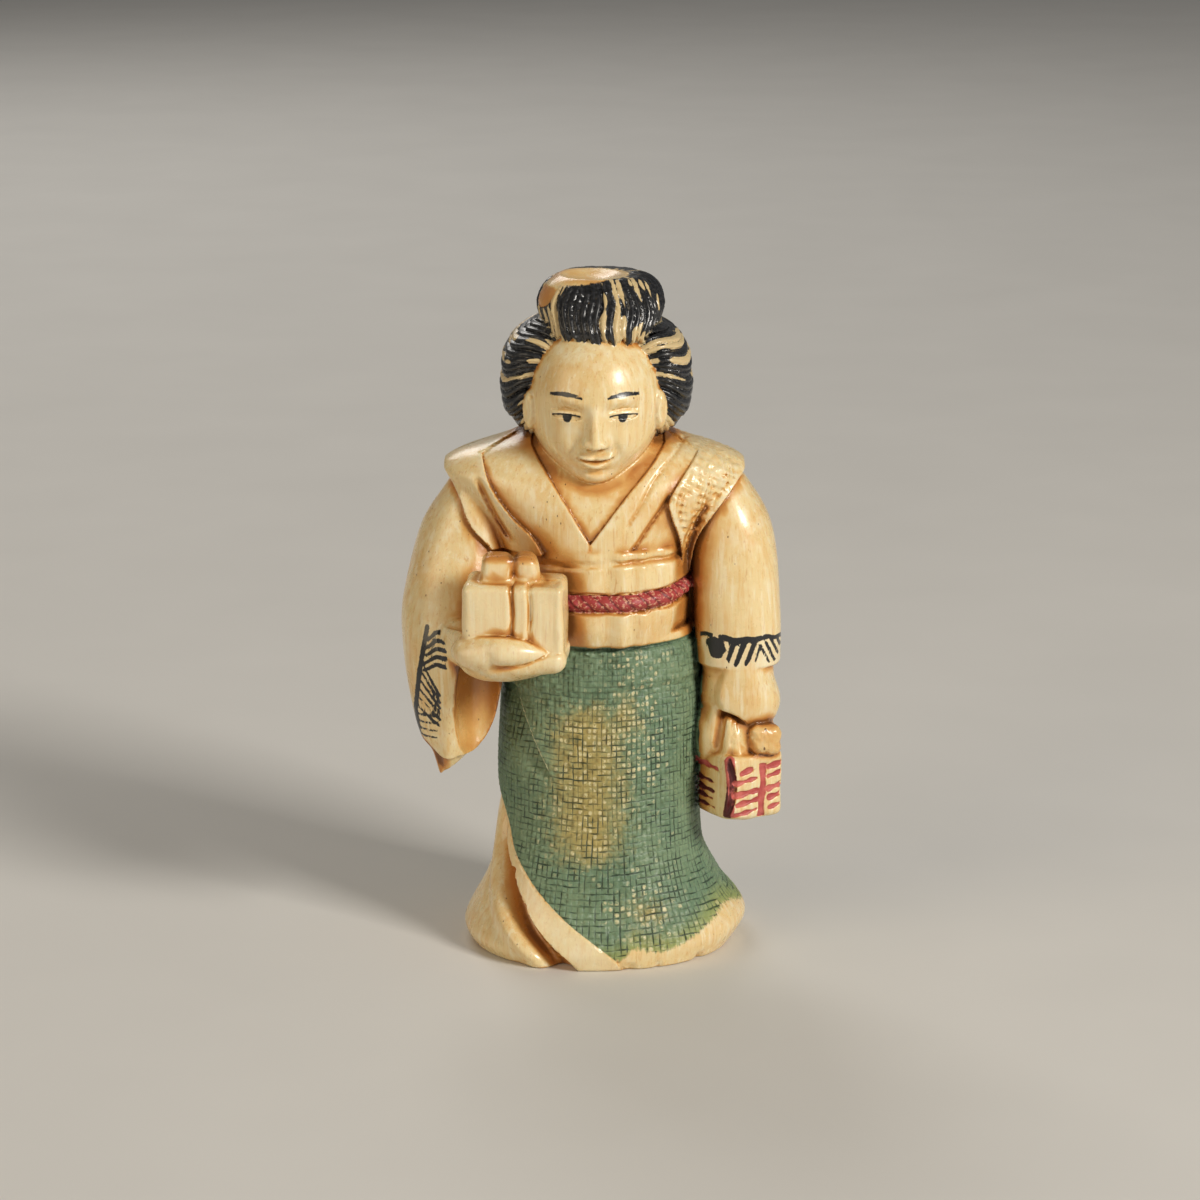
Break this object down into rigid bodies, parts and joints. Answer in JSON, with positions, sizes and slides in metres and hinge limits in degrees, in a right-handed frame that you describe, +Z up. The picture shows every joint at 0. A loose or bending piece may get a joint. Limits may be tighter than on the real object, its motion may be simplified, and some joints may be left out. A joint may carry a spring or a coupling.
{
  "type": "netsuke",
  "caption": "Small carved and painted toggle ornament: a standing kimono figure with a wrapped box in one hand and a bundle in the other, on a flat base.",
  "frame": {"origin": "on the underside, below the figure's upright axis", "axes": "+Z up, the figure faces -Y, +X to the viewer's right"},
  "size_m": [0.0273, 0.0204, 0.0491],
  "materials": {
    "ivory": "polished cream bone, amber stain in the recesses, painted green, black and red"
  },
  "bodies": {
    "root": {"figure": "ivory"}
  },
  "joints": []
}
